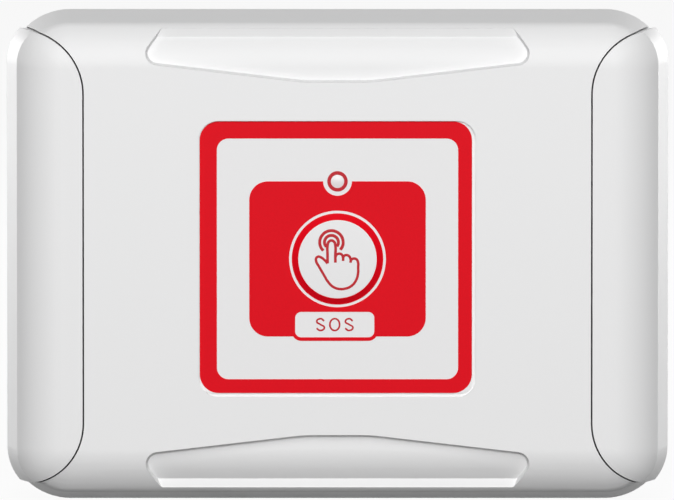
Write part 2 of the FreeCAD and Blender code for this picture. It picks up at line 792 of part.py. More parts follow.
def battery_holder():
    # An open tray on the board's back, with a low rib between the two cells
    low_z = "-tray_drop - tray_half_z"
    high_z = "-tray_drop + tray_half_z"
    shell = box("tray_block", ("-tray_half", "board_back", low_z),
                ("tray_half", "board_back + tray_height", high_z))
    room = box("tray_room", ("-tray_inner", "board_back + tray_wall", low_z + " + tray_wall"),
               ("tray_inner", "board_back + tray_height + past", high_z + " - tray_wall"))
    finger_room = box("tray_finger_room", ("-tray_inner / 2", "cell_y", low_z + " - past"),
                      ("tray_inner / 2", "board_back + tray_height + past", high_z + " + past"))
    rib = box("tray_rib", ("-tray_inner / 2", "board_back + tray_wall / 2", "-tray_drop - tray_rib / 2"),
              ("tray_inner / 2", "cell_y - tray_rib_drop", "-tray_drop + tray_rib / 2"))
    return join("battery_holder", [take("tray_shell", shell, [room, finger_room]), rib])


def battery(label, side, way):
    # A cell along the tray. Its positive end touches the contact plate at the side that way names.
    up = "-tray_drop %s cell_pitch / 2" % side
    tip = "tray_inner - contact_thickness"
    can_end = tip + " - cell_nipple"
    back_end = tip + " - cell_length"
    if way == "right":
        can = bar(label + "_can", "cell_y", up, back_end, can_end, "cell_radius")
        nipple = bar(label + "_nipple", "cell_y", up, can_end + " - past", tip, "cell_nipple_radius")
    else:
        can = bar(label + "_can", "cell_y", up, "-(%s)" % can_end, "-(%s)" % back_end, "cell_radius")
        nipple = bar(label + "_nipple", "cell_y", up, "-(%s)" % tip, "-(%s) + past" % can_end,
                     "cell_nipple_radius")
    return join(label, [can, nipple])


def contact(label, side, way):
    up = "-tray_drop %s cell_pitch / 2" % side
    near = "tray_inner - contact_thickness"
    reach = (near, "tray_inner") if way == "right" else ("-tray_inner", "-(%s)" % near)
    return box(label, (reach[0], "cell_y - contact_size / 2", up + " - contact_size / 2"),
               (reach[1], "cell_y + contact_size / 2", up + " + contact_size / 2"))


def wire_coil(label, start, level, up, radius, wire, length, turns):
    # A wire coil that runs to the right from its start, in short straight runs of flat-sided wire
    count = max(int(round(number(turns) * COIL_RUNS)), 1)
    left, back, high = number(start), number(level), number(up)
    mean, advance = number(radius), number(length) / count
    turns_so_far = [2 * math.pi * i / COIL_RUNS for i in range(count + 1)]
    path = [Vector(left + i * advance, back + mean * math.cos(turn), high + mean * math.sin(turn))
            for i, turn in enumerate(turns_so_far)]
    aim = path[1] - path[0]
    side = Vector(0, 1, 0)
    across = aim.cross(side).normalize()
    side = across.cross(aim).normalize()
    half = number(wire) / 2
    sides = [2 * math.pi * i / WIRE_SIDES for i in range(WIRE_SIDES + 1)]
    ring = [path[0] + across * (half * math.cos(turn)) + side * (half * math.sin(turn)) for turn in sides]
    shell = Part.Wire(Part.makePolygon(path)).makePipeShell([Part.makePolygon(ring)], True, False, 1)
    feature = doc.addObject("Part::Feature", label)
    feature.Shape = shell
    return feature


def battery_springs():
    # The negative contacts, one behind each cell at the end away from its positive plate
    left = "-tray_inner + spring_wire / 2"
    right = "tray_inner - spring_wire / 2 - spring_length"
    upper = wire_coil("spring_upper", left, "cell_y", "-tray_drop + cell_pitch / 2", "spring_radius",
                      "spring_wire", "spring_length", "spring_turns")
    lower = wire_coil("spring_lower", right, "cell_y", "-tray_drop - cell_pitch / 2", "spring_radius",
                      "spring_wire", "spring_length", "spring_turns")
    return group("battery_springs", [upper, lower])


def radio_module():
    low, high = "radio_z - radio_height / 2", "radio_z + radio_height / 2"
    left, right = "radio_x - radio_width / 2", "radio_x + radio_width / 2"
    card = box("radio_card", (left, "board_back", low), (right, "board_back + radio_board", high))
    can = box("radio_can_form",
              (left + " + radio_board", "board_back + radio_board / 2", low + " + radio_board"),
              (right + " - radio_board", "board_back + radio_board + radio_can", high + " - radio_board"))
    return join("radio_module", [card, can])


def antenna_coil():
    level = "board_front - coil_gap - coil_wire / 2 - coil_radius"
    return wire_coil("antenna_coil", "coil_x", level, "coil_z", "coil_radius", "coil_wire",
                     "coil_length", "coil_turns")


def chip(label, x, z, length, width, rise):
    return box(label, ("%s - %s / 2" % (x, length), "board_front - " + rise, "%s - %s / 2" % (z, width)),
               ("%s + %s / 2" % (x, length), "board_front", "%s + %s / 2" % (z, width)))


def board_components():
    bits = [chip("board_bit_%d_%d" % (column, line), "bit_x + %d * bit_pitch" % column,
                 "bit_z + %d * bit_pitch" % line, "bit_length", "bit_width", "bit_height")
            for column in range(BIT_COLUMNS) for line in range(BIT_LINES)]
    return group("board_components", bits)


# The whole button

right_cap = right_end_cap()
contacts = [contact("contact_upper", "+", "right"), contact("contact_lower", "-", "left")]
cover_screws = at_corners("housing_screw", "channel_screw_x", "housing_screw_z", housing_screw)
pieces = [
    front_cover(),
    rear_cover(),
    right_cap,
    mirrored("left_end_cap", right_cap, Vector(1, 0, 0)),
    seal_ring("housing_gasket", "seal_clearance", "-rear_depth + seal_depth", "parting"),
    group("housing_screws", cover_screws),
    label_film(),
    label_red_print(),
    key_cap(),
    switch_stem(),
    tact_switch(),
    switch_legs(),
    status_led(),
    led_leads(),
    circuit_board(),
    group("board_screws", at_corners("board_screw", "boss_x", "boss_z", board_screw)),
    battery_holder(),
    battery("battery_upper", "+", "right"),
    battery("battery_lower", "-", "left"),
    group("battery_contacts", contacts),
    battery_springs(),
    radio_module(),
    antenna_coil(),
    chip("microcontroller", "chip_x", "chip_z", "chip_size", "chip_size", "chip_height"),
    chip("crystal", "chip_x", "crystal_z", "crystal_length", "crystal_width", "crystal_height"),
    board_components(),
]
doc.recompute()

for thing in doc.Objects:
    if "Invalid" in thing.State or "Error" in thing.State:
        raise RuntimeError("%s failed: %s" % (thing.Name, thing.State))
for piece in pieces:
    if piece.Shape.isNull() or not piece.Shape.isValid():
        raise RuntimeError("%s has no sound shape" % piece.Label)

os.makedirs("parts", exist_ok=True)
for piece in pieces:
    piece.Shape.exportStep("parts/%s.step" % piece.Label)
    extent = piece.Shape.BoundBox
    print("%-18s solids %d  volume %9.2f  x %.2f..%.2f  y %.2f..%.2f  z %.2f..%.2f" % (
        piece.Label, len(piece.Shape.Solids), piece.Shape.Volume, extent.XMin, extent.XMax,
        extent.YMin, extent.YMax, extent.ZMin, extent.ZMax))
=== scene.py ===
# Wireless call button, dressed for rendering: housing, printed film key, and what is inside
import bpy
import bmesh
import math
from mathutils import Matrix, Vector


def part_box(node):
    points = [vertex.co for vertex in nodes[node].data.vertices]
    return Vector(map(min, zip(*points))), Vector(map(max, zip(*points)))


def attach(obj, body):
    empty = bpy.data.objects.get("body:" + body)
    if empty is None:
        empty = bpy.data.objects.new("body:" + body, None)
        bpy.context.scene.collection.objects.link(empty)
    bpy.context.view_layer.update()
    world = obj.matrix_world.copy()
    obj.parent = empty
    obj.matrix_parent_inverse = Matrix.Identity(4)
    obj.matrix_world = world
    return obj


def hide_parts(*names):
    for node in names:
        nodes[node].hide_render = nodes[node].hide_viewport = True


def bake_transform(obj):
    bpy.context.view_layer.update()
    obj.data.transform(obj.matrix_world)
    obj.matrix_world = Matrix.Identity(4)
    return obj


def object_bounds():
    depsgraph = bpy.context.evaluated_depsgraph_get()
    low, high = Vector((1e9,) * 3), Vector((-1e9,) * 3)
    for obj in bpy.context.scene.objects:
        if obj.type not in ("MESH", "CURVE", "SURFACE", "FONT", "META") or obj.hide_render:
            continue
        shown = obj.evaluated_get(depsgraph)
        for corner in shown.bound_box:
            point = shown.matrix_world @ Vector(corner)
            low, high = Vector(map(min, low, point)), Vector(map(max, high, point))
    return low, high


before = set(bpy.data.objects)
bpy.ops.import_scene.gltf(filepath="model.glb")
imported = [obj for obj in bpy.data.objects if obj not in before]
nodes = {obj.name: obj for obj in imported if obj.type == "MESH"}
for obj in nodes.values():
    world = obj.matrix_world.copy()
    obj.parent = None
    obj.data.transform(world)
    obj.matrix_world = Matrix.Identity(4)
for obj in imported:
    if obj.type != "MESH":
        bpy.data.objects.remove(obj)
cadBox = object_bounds()
scene = bpy.context.scene
mm = 0.001
outward = Vector((0, -1, 0))       # out of the housing's face, towards the person who presses
print("frame loaded:", len(nodes), "nodes")


# Shader helpers: a wire is a socket that takes part in arithmetic

class Wire:
    def __init__(self, shader, socket):
        self.shader = shader
        self.socket = socket

    def __add__(self, other):
        return self.shader.maths("ADD", self, other)

    __radd__ = __add__

    def __mul__(self, other):
        return self.shader.maths("MULTIPLY", self, other)

    __rmul__ = __mul__

    def __sub__(self, other):
        return self.shader.maths("SUBTRACT", self, other)

    def __rsub__(self, other):
        return self.shader.maths("SUBTRACT", other, self)

    def __gt__(self, other):
        return self.shader.maths("GREATER_THAN", self, other)

    def __abs__(self):
        return self.shader.maths("ABSOLUTE", self)

    def within(self, low, high):
        # 0 up to low, 1 from high on, smooth between
        return self.shader.node("ShaderNodeMapRange", {"interpolation_type": "SMOOTHSTEP"},
                                {"Value": self, "From Min": low, "From Max": high})


class Shader:
    def __init__(self, owner):
        self.owner = owner
        owner.use_nodes = True
        self.tree = owner.node_tree
        self.tree.nodes.clear()

    def node(self, kind, settings=None, sockets=None, output=0):
        made = self.tree.nodes.new(kind)
        for name, value in (settings or {}).items():
            setattr(made, name, value)
        for name, value in (sockets or {}).items():
            if isinstance(value, Wire):
                self.tree.links.new(value.socket, made.inputs[name])
            else:
                made.inputs[name].default_value = value
        return Wire(self, made.outputs[output]) if made.outputs else made

    def maths(self, operation, *values):
        return self.node("ShaderNodeMath", {"operation": operation}, dict(enumerate(values)))

    def place(self, stretch=(1, 1, 1)):
        here = self.node("ShaderNodeTexCoord", output="Object")
        return self.node("ShaderNodeMapping", None, {"Vector": here, "Scale": stretch})

    def along(self, axis):
        return self.node("ShaderNodeSeparateXYZ", None, {"Vector": self.place()}, axis)

    def noise(self, size, detail=2.0, where=None):
        # Grain whose lumps are about this many millimetres across
        return self.node("ShaderNodeTexNoise", None,
                         {"Vector": where or self.place(), "Scale": 1 / (size * mm),
                          "Detail": detail})

    def mix(self, share, first, second):
        return self.node("ShaderNodeMix", {"data_type": "RGBA"},
                         {0: share, 6: first, 7: second}, 2)

    def tint(self, colour, amount, field):
        # The colour, a little darker and lighter as the field goes from 0 to 1
        dark = tuple(c * (1 - amount) for c in colour) + (1,)
        light = tuple(min(c * (1 + amount), 1) for c in colour) + (1,)
        return self.mix(field, dark, light)

    def bump(self, height, depth, strength):
        return self.node("ShaderNodeBump", None,
                         {"Height": height, "Distance": depth * mm, "Strength": strength})

    def finish(self, **sockets):
        named = {name.replace("_", " "): value for name, value in sockets.items()}
        surface = self.node("ShaderNodeBsdfPrincipled", None, named)
        self.node("ShaderNodeOutputMaterial", None, {"Surface": surface})
        return self.owner


def material(name):
    return Shader(bpy.data.materials.new(name))


# Finishes: sizes are in millimetres, and a spread is how much the roughness varies

housingFinish = {
    "colour": (0.795, 0.795, 0.797), "mottle": 0.006, "cloud": 14, "grain": 0.22,
    "grainDepth": 0.012, "grainStrength": 0.5,
    "roughness": 0.46, "cloudSpread": 0.06, "grainSpread": 0.05, "gloss": 0.35,
}
keyFinish = {**housingFinish, "grain": 0.3}


def mouldedPlastic(name, values):
    s = material(name)
    cloud = s.noise(values["cloud"], detail=3)
    grain = s.noise(values["grain"], detail=2)
    return s.finish(Base_Color=s.tint(values["colour"], values["mottle"], cloud),
                    Roughness=values["roughness"] + values["cloudSpread"] * (cloud - 0.5)
                    + values["grainSpread"] * (grain - 0.5),
                    Specular_IOR_Level=values["gloss"],
                    Normal=s.bump(grain, values["grainDepth"], values["grainStrength"]))


printFinish = {
    "white": (0.835, 0.832, 0.835), "red": (0.74, 0.003, 0.012), "ink": (0.52, 0.03, 0.04),
    "speckle": 0.35, "wave": 9, "speckleShare": 0.3, "waveDepth": 0.02, "waveStrength": 0.35,
    "roughness": 0.42, "spread": 0.08, "gloss": 0.05,
}


def filmMaterial(name, colour, mottle):
    # Satin film: fine speckle in the print, and a very slow waviness of the sheet
    s = material(name)
    speckle = s.noise(printFinish["speckle"], detail=3)
    wave = s.noise(printFinish["wave"], detail=1)
    return s.finish(Base_Color=s.tint(colour, mottle, speckle),
                    Roughness=printFinish["roughness"] + printFinish["spread"] * (speckle - 0.5),
                    Specular_IOR_Level=printFinish["gloss"],
                    Normal=s.bump(speckle * printFinish["speckleShare"] + wave,
                                  printFinish["waveDepth"], printFinish["waveStrength"]))


darkFinish = {"cloud": 4, "mottle": 0.25, "blueTint": 1.04, "spread": 0.1,
              "grainDepth": 0.02, "grainStrength": 0.6}


def darkMoulding(name, shade, roughness, grain):
    s = material(name)
    fine = s.noise(grain, detail=3)
    cloud = s.noise(darkFinish["cloud"], detail=2)
    colour = (shade, shade, shade * darkFinish["blueTint"])
    return s.finish(Base_Color=s.tint(colour, darkFinish["mottle"], cloud),
                    Roughness=roughness + darkFinish["spread"] * (fine - 0.5),
                    Normal=s.bump(fine, darkFinish["grainDepth"], darkFinish["grainStrength"]))


metalFinish = {"lines": 0.25, "patch": 2.2, "mottle": 0.08, "lineSpread": 0.16,
               "patchSpread": 0.08, "lineDepth": 0.004, "lineStrength": 0.5}


def metal(name, colour, roughness, stretch):
    # Drawn or plated metal: hair lines along one axis and a few dull patches
    s = material(name)
    lines = s.noise(metalFinish["lines"], detail=4, where=s.place(stretch))
    patch = s.noise(metalFinish["patch"], detail=3)
    return s.finish(Base_Color=s.tint(colour, metalFinish["mottle"], patch), Metallic=1.0,
                    Roughness=roughness + metalFinish["lineSpread"] * (lines - 0.5)
                    + metalFinish["patchSpread"] * (patch - 0.5),
                    Normal=s.bump(lines, metalFinish["lineDepth"], metalFinish["lineStrength"]))


boardFinish = {
    "mask": (0.012, 0.11, 0.045, 1), "track": (0.03, 0.24, 0.09, 1), "trackShow": 0.7,
    "pad": (0.72, 0.70, 0.66, 1), "edge": (0.32, 0.30, 0.16, 1),
    "pitch": 1.3, "bends": (0.7, 0.9), "bendLimit": 0.5, "halfTrack": (0.16, 0.22),
    "cells": 9, "laneFrom": 0.47, "laneTo": 0.49, "padSpots": 5, "padLimit": 0.62,
    "middle": -20.7, "halfThickness": 0.7,
    "roughness": 0.32, "copperSheen": 0.05, "spread": 0.06, "grain": 0.6,
    "copperHeight": 0.03, "copperStrength": 0.6,
}


def boardMaterial(name):
    # Solder mask over copper: straight tracks in both directions, and tinned pads where they cross
    s = material(name)
    x, z, y = s.along("X"), s.along("Z"), s.along("Y")
    cells = s.noise(boardFinish["cells"], detail=1)
    inner, outer = boardFinish["halfTrack"]
    tracks = []
    for run, bend in zip((x, z), boardFinish["bends"]):
        shifted = run + bend * mm * (cells > boardFinish["bendLimit"])
        step = s.maths("PINGPONG", shifted, boardFinish["pitch"] * mm)
        tracks.append(1 - step.within(inner * mm, outer * mm))
    lane = cells.within(boardFinish["laneFrom"], boardFinish["laneTo"])
    copper = tracks[0] * lane + tracks[1] * (1 - lane)
    spots = s.noise(boardFinish["padSpots"], detail=0) > boardFinish["padLimit"]
    pads = tracks[0] * tracks[1] * spots
    mask = s.mix(copper * boardFinish["trackShow"], boardFinish["mask"], boardFinish["track"])
    faced = abs(y - boardFinish["middle"] * mm) > boardFinish["halfThickness"] * mm
    colour = s.mix(faced, boardFinish["edge"], s.mix(pads, mask, boardFinish["pad"]))
    return s.finish(Base_Color=colour,
                    Roughness=boardFinish["roughness"] - boardFinish["copperSheen"] * copper
                    + boardFinish["spread"] * s.noise(boardFinish["grain"]),
                    Metallic=pads * faced,
                    Normal=s.bump(copper + pads, boardFinish["copperHeight"],
                                  boardFinish["copperStrength"]))


cellFinish = {
    "wrap": (0.035, 0.04, 0.05, 1), "band": (0.50, 0.25, 0.10, 1), "steel": (0.66, 0.66, 0.64, 1),
    "bareTip": 1.5, "bandLength": 12, "bareFoot": 0.4, "steelPolish": 0.9, "bandPolish": 0.5,
    "scuff": 1.2, "roughness": 0.26, "spread": 0.12, "scuffDepth": 0.01, "scuffStrength": 0.3,
}


def cellJacket(name, node, tip):
    # A plain wrap with a copper-toned band, and bare metal past its ends; tip is +1 or -1
    low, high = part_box(node)
    s = material(name)
    x = s.along("X")
    start, end = (low.x, high.x) if tip > 0 else (high.x, low.x)
    wrapEnd = end - tip * cellFinish["bareTip"] * mm
    bandStart = end - tip * cellFinish["bandLength"] * mm
    pastTip = ((x - wrapEnd) * tip) > 0
    beforeFoot = ((start + tip * cellFinish["bareFoot"] * mm - x) * tip) > 0
    bare = s.maths("MAXIMUM", pastTip, beforeFoot)
    band = ((x - bandStart) * tip) > 0
    scuff = s.noise(cellFinish["scuff"], detail=4)
    wrap = s.mix(band, cellFinish["wrap"], cellFinish["band"])
    return s.finish(Base_Color=s.mix(bare, wrap, cellFinish["steel"]),
                    Metallic=bare * cellFinish["steelPolish"]
                    + band * (1 - bare) * cellFinish["bandPolish"],
                    Roughness=cellFinish["roughness"] + cellFinish["spread"] * scuff,
                    Normal=s.bump(scuff, cellFinish["scuffDepth"], cellFinish["scuffStrength"]))


lampFinish = {"colour": (0.86, 0.80, 0.78), "mottle": 0.05, "haze": 0.8,
              "roughness": 0.08, "spread": 0.1, "clear": 0.75, "ior": 1.5}


def clearLamp(name):
    s = material(name)
    haze = s.noise(lampFinish["haze"], detail=2)
    return s.finish(Base_Color=s.tint(lampFinish["colour"], lampFinish["mottle"], haze),
                    Roughness=lampFinish["roughness"] + lampFinish["spread"] * haze,
                    Transmission_Weight=lampFinish["clear"], IOR=lampFinish["ior"])


chipFinish = {
    "colour": (0.02, 0.02, 0.022), "mottle": 0.3, "dot": (0.07, 0.07, 0.07, 1), "grit": 0.18,
    "dotInset": 1.1, "dotInner": 0.32, "dotOuter": 0.4,
    "roughness": 0.5, "spread": 0.2, "dotSheen": 0.25, "gritDepth": 0.02, "gritStrength": 0.5,
}


def chipMaterial(name):
    # Moulded epoxy with a small sunk dot at the first leg's corner
    s = material(name)
    x, z = s.along("X"), s.along("Z")
    low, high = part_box("microcontroller")
    grit = s.noise(chipFinish["grit"], detail=3)
    inset = chipFinish["dotInset"] * mm
    dx, dz = x - (low.x + inset), z - (high.z - inset)
    reach = s.maths("SQRT", dx * dx + dz * dz)
    dot = 1 - reach.within(chipFinish["dotInner"] * mm, chipFinish["dotOuter"] * mm)
    epoxy = s.tint(chipFinish["colour"], chipFinish["mottle"], grit)
    return s.finish(Base_Color=s.mix(dot, epoxy, chipFinish["dot"]),
                    Roughness=chipFinish["roughness"] + chipFinish["spread"] * grit
                    - chipFinish["dotSheen"] * dot,
                    Normal=s.bump(grit - dot, chipFinish["gritDepth"], chipFinish["gritStrength"]))


ceramicFinish = {
    "body": (0.36, 0.24, 0.13), "mottle": 0.2, "ends": (0.70, 0.69, 0.66, 1), "grit": 0.2,
    "columnStep": 3.5, "halfLength": 1.0, "endsFrom": 0.65,
    "roughness": 0.34, "spread": 0.12, "gritDepth": 0.01, "gritStrength": 0.4,
}


def ceramicBits(name):
    # Small chip parts in two columns: a ceramic middle with tinned ends
    low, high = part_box("board_components")
    s = material(name)
    x = s.along("X")
    fromLeft = x - low.x
    column = (x > (low.x + high.x) / 2) * ceramicFinish["columnStep"] * mm
    fromMiddle = abs(fromLeft - column - ceramicFinish["halfLength"] * mm)
    ends = fromMiddle > ceramicFinish["endsFrom"] * mm
    grit = s.noise(ceramicFinish["grit"], detail=3)
    body = s.tint(ceramicFinish["body"], ceramicFinish["mottle"], grit)
    return s.finish(Base_Color=s.mix(ends, body, ceramicFinish["ends"]), Metallic=ends,
                    Roughness=ceramicFinish["roughness"] + ceramicFinish["spread"] * grit,
                    Normal=s.bump(grit, ceramicFinish["gritDepth"],
                                  ceramicFinish["gritStrength"]))


whiteFilm = filmMaterial("whiteFilm", printFinish["white"], mottle=0.008)
redPrint = filmMaterial("redPrint", printFinish["red"], mottle=0.05)
redInk = filmMaterial("redInk", printFinish["ink"], mottle=0.05)
tinned = metal("tinnedMetal", (0.70, 0.69, 0.67), roughness=0.30, stretch=(1, 0.15, 1))
shield = metal("shieldPlate", (0.66, 0.66, 0.64), roughness=0.34, stretch=(0.08, 1, 1))
plated = metal("platedSteel", (0.60, 0.60, 0.61), roughness=0.28, stretch=(1, 0.2, 1))
copperWire = metal("enamelledCopper", (0.66, 0.27, 0.12), roughness=0.24, stretch=(0.2, 1, 1))
switchPlastic = darkMoulding("switchPlastic", shade=0.028, roughness=0.42, grain=0.25)

finishes = {
    "front_cover": mouldedPlastic("housingPlastic", housingFinish),
    "rear_cover": mouldedPlastic("rearPlastic", housingFinish),
    "left_end_cap": mouldedPlastic("leftCapPlastic", housingFinish),
    "right_end_cap": mouldedPlastic("rightCapPlastic", housingFinish),
    "housing_gasket": darkMoulding("sealRubber", shade=0.022, roughness=0.72, grain=0.35),
    "housing_screws": plated, "board_screws": plated,
    "label_film": whiteFilm, "label_red_print": redPrint,
    "key_cap": mouldedPlastic("keyPlastic", keyFinish),
    "switch_stem": switchPlastic, "tact_switch": switchPlastic, "switch_legs": tinned,
    "status_led": clearLamp("lampEpoxy"), "led_leads": tinned,
    "circuit_board": boardMaterial("solderMask"),
    "battery_holder": darkMoulding("trayPlastic", shade=0.024, roughness=0.5, grain=0.4),
    "battery_upper": cellJacket("upperCellWrap", "battery_upper", 1),
    "battery_lower": cellJacket("lowerCellWrap", "battery_lower", -1),
    "battery_contacts": tinned, "battery_springs": tinned,
    "radio_module": shield, "crystal": shield, "antenna_coil": copperWire,
    "microcontroller": chipMaterial("chipEpoxy"),
    "board_components": ceramicBits("ceramicBits"),
}
for name, finish in finishes.items():
    for place in nodes[name].material_slots:
        place.material = finish
print("finishes set:", len(finishes))


# Mesh helpers

near = {"solid": 0.002, "spun": 0.0005, "ring": 0.01, "stroke": 0.001}   # counts as one place, mm


def keepPiece(name, bm, finish, body=None, smoothBelow=40):
    # A finished piece at the origin, with its place in its mesh
    bmesh.ops.recalc_face_normals(bm, faces=bm.faces)
    for face in bm.faces:
        face.smooth = True
    for edge in bm.edges:
        edge.smooth = not edge.is_manifold or edge.calc_face_angle() < math.radians(smoothBelow)
    mesh = bpy.data.meshes.new(name)
    bm.to_mesh(mesh)
    bm.free()
    mesh.materials.append(finish)
    piece = bpy.data.objects.new(name, mesh)
    scene.collection.objects.link(piece)
    if body:
        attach(piece, body)
    return piece


def mergedCopy(node):
    bm = bmesh.new()
    bm.from_mesh(nodes[node].data)
    bmesh.ops.remove_doubles(bm, verts=bm.verts, dist=near["solid"] * mm)
    return bm


def vertsOf(geometry):
    return [part for part in geometry if isinstance(part, bmesh.types.BMVert)]


def profileLoop(bm, points, closed):
    # A line of radius and level, drawn at Z = 0
    verts = [bm.verts.new((radius * mm, level * mm, 0)) for radius, level in points]
    ends = list(zip(verts, verts[1:])) + ([(verts[-1], verts[0])] if closed else [])
    return verts + [bm.edges.new(pair) for pair in ends]


def spinRound(bm, points, steps=96):
    geometry = profileLoop(bm, points, False)
    bmesh.ops.spin(bm, geom=geometry, cent=(0, 0, 0), axis=(0, 1, 0), dvec=(0, 0, 0),
                   angle=2 * math.pi, steps=steps, use_merge=True)
    bmesh.ops.remove_doubles(bm, verts=bm.verts, dist=near["spun"] * mm)


def roundRing(bm, radius, level, width, segments=4):
    # Rounds the ring of edges at one radius and level
    reach = near["ring"] * mm

    def on(vert):
        return abs(math.hypot(vert.co.x, vert.co.z) - radius * mm) < reach \
            and abs(vert.co.y - level * mm) < reach
    ring = [edge for edge in bm.edges if all(on(vert) for vert in edge.verts)]
    bmesh.ops.bevel(bm, geom=ring, offset=width * mm, offset_type="OFFSET", segments=segments,
                    profile=0.5, affect="EDGES", material=-1)


def placeCopies(bm, places):
    # The mesh at each of several places, in the first one's stead
    original = bm.verts[:] + bm.edges[:] + bm.faces[:]
    for place in places[1:]:
        made = bmesh.ops.duplicate(bm, geom=original)["geom"]
        bmesh.ops.translate(bm, verts=vertsOf(made), vec=place)
    bmesh.ops.translate(bm, verts=vertsOf(original), vec=places[0])


def faceOutward(bm):
    bmesh.ops.recalc_face_normals(bm, faces=bm.faces)
    if sum(face.normal.dot(outward) for face in bm.faces) < 0:
        bmesh.ops.reverse_faces(bm, faces=bm.faces)


# The front moulding: the edge between its round and its leaning sides is softened

ridge = {"level": -26.1, "reach": 0.25, "leastAngle": 24, "mostAngle": 34,
         "softening": 0.8, "segments": 5, "flatWithin": 0.5, "smoothBelow": 28}


def frontMoulding():
    bm = mergedCopy("front_cover")
    bmesh.ops.dissolve_limit(bm, angle_limit=math.radians(ridge["flatWithin"]), verts=bm.verts,
                             edges=bm.edges, use_dissolve_boundaries=False, delimit={"NORMAL"})

    def onRidge(edge):
        turn = math.degrees(edge.calc_face_angle(0))
        level = sum(vert.co.y for vert in edge.verts) / 2 / mm
        return edge.is_convex and ridge["leastAngle"] < turn < ridge["mostAngle"] \
            and abs(level - ridge["level"]) < ridge["reach"]
    run = [edge for edge in bm.edges if onRidge(edge)]

    def atSeam(edge):
        return any(sum(other in run for other in vert.link_edges) < 2 for vert in edge.verts)
    # The last edge before each seam keeps its corner: the rounding ends inside the moulding
    inner = [edge for edge in run if not atSeam(edge)]
    bmesh.ops.bevel(bm, geom=inner, offset=ridge["softening"] * mm, offset_type="OFFSET",
                    segments=ridge["segments"], profile=0.5, affect="EDGES",
                    clamp_overlap=False, loop_slide=True, material=-1)
    piece = keepPiece("frontMoulding", bm, finishes["front_cover"], "housing",
                      ridge["smoothBelow"])
    even = piece.modifiers.new("evenShading", "WEIGHTED_NORMAL")
    even.keep_sharp = True
    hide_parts("front_cover")


frontMoulding()
print("front moulding softened")


# The film key: a printed sheet with an embossed dome over the key

filmLow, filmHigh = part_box("label_film")
label = {
    "sheetFront": -29.55, "sheetThickness": 0.25,
    "cornerRound": 3.4, "cornerShare": 0.5858, "cornerSegments": 10,
    "domeTop": filmLow.y / mm, "topRadius": 7.1, "footRadius": 8.15, "fieldRadius": 9.4,
    "topRounding": 0.28, "footRounding": 0.22, "slopeReach": 8.5,
    "inkRise": 0.035, "inkInside": 0.02, "inkOutside": 0.12, "inkPastFoot": 0.1,
}
window = {
    "radius": 1.15, "rise": 0.09, "height": 14.05, "ringReach": 1.9,
    "shoulder": 0.6, "shoulderRise": 0.8, "rimRise": 0.01, "sunk": 0.05, "sides": 48,
    "colour": (0.74, 0.71, 0.71), "mottle": 0.02, "haze": 0.3, "roughness": 0.22, "spread": 0.08,
}


def domeSurface(bm):
    spinRound(bm, [(0, label["domeTop"]), (label["topRadius"], label["domeTop"]),
                   (label["footRadius"], label["sheetFront"]),
                   (label["fieldRadius"], label["sheetFront"])])
    roundRing(bm, label["topRadius"], label["domeTop"], label["topRounding"])
    roundRing(bm, label["footRadius"], label["sheetFront"], label["footRounding"])


def labelFilm():
    bm = bmesh.new()
    domeSurface(bm)
    ring = [edge for edge in bm.edges if edge.is_boundary]
    size, middle = filmHigh - filmLow, (filmLow + filmHigh) / 2
    middle.y = label["sheetFront"] * mm
    sheet = bmesh.ops.create_grid(bm, x_segments=1, y_segments=1, size=0.5)["verts"]
    turn = Matrix.Translation(middle) @ Matrix.Rotation(math.pi / 2, 4, "X") \
        @ Matrix.Diagonal((size.x, size.z, 1, 1))
    bmesh.ops.transform(bm, matrix=turn, verts=sheet)
    # The bevel starts this share of the radius from a corner, for about the same arc
    cornerCut = label["cornerRound"] * mm * label["cornerShare"]
    bmesh.ops.bevel(bm, geom=sheet, offset=cornerCut, offset_type="OFFSET",
                    segments=label["cornerSegments"], profile=0.5, affect="VERTICES", material=-1)
    card = [face for face in bm.faces if len(face.verts) > 4 * label["cornerSegments"]]
    outline = [edge for face in card for edge in face.edges]
    bmesh.ops.delete(bm, geom=card, context="FACES_ONLY")
    bmesh.ops.triangle_fill(bm, use_beauty=True, edges=ring + outline, normal=outward)
    faceOutward(bm)
    bmesh.ops.solidify(bm, geom=bm.faces[:], thickness=label["sheetThickness"] * mm)
    piece = keepPiece("labelFilm", bm, whiteFilm, smoothBelow=30)
    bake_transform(piece)
    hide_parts("label_film")


def keyRingPrint():
    # The red slope of the dome, a thin layer over the film
    bm = bmesh.new()
    domeSurface(bm)
    faceOutward(bm)
    nearest = label["topRadius"] - label["inkInside"]
    farthest = label["footRadius"] + label["inkOutside"]

    def onSlope(face):
        return all(nearest < math.hypot(vert.co.x, vert.co.z) / mm < farthest
                   for vert in face.verts)
    bmesh.ops.delete(bm, geom=[face for face in bm.faces if not onSlope(face)], context="FACES")
    for vert in bm.verts:
        radius = math.hypot(vert.co.x, vert.co.z)
        if vert.is_boundary and radius > label["footRadius"] * mm:
            vert.co += Vector((vert.co.x, 0, vert.co.z)) * (label["inkPastFoot"] * mm / radius)
    bm.normal_update()
    for vert in bm.verts:
        vert.co += vert.normal * label["inkRise"] * mm
    bmesh.ops.solidify(bm, geom=bm.faces[:], thickness=label["inkRise"] * mm)
    piece = keepPiece("keyRingPrint", bm, redPrint, smoothBelow=50)
    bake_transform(piece)
    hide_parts("label_red_print")


def labelPrint():
    # Border, panel and lamp ring, as the solids have them
    bm = mergedCopy("label_red_print")
    slope = [vert for vert in bm.verts
             if math.hypot(vert.co.x, vert.co.z) < label["slopeReach"] * mm]
    bmesh.ops.delete(bm, geom=slope, context="VERTS")
    lampRing = Vector((0, 0, window["height"] * mm))
    for face in bm.faces:
        middle = face.calc_center_median()
        middle.y = 0
        face.material_index = int((middle - lampRing).length < window["ringReach"] * mm)
    piece = keepPiece("labelPrint", bm, redPrint, "housing", smoothBelow=30)
    piece.data.materials.append(redInk)
    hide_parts("label_red_print")


